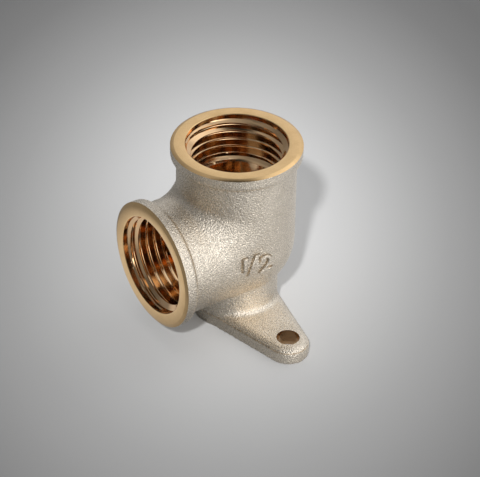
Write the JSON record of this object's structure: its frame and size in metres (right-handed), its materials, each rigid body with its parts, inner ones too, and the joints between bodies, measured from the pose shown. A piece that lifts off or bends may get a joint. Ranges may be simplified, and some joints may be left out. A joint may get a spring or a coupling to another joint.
{
  "type": "wall plate elbow",
  "caption": "Nickel-plated brass wall plate elbow with female threaded sockets at a right angle and a flat wall plate with screw ears.",
  "frame": {"origin": "middle of the wall plate's flat back, on the upper socket's axis", "axes": "+Z out of the upper socket, -X out of the side socket, Y along the two ears"},
  "size_m": [0.0344, 0.0476, 0.0409],
  "materials": {
    "plated_brass": "satin"
  },
  "bodies": {
    "root": {"elbow": "plated_brass"}
  },
  "joints": []
}
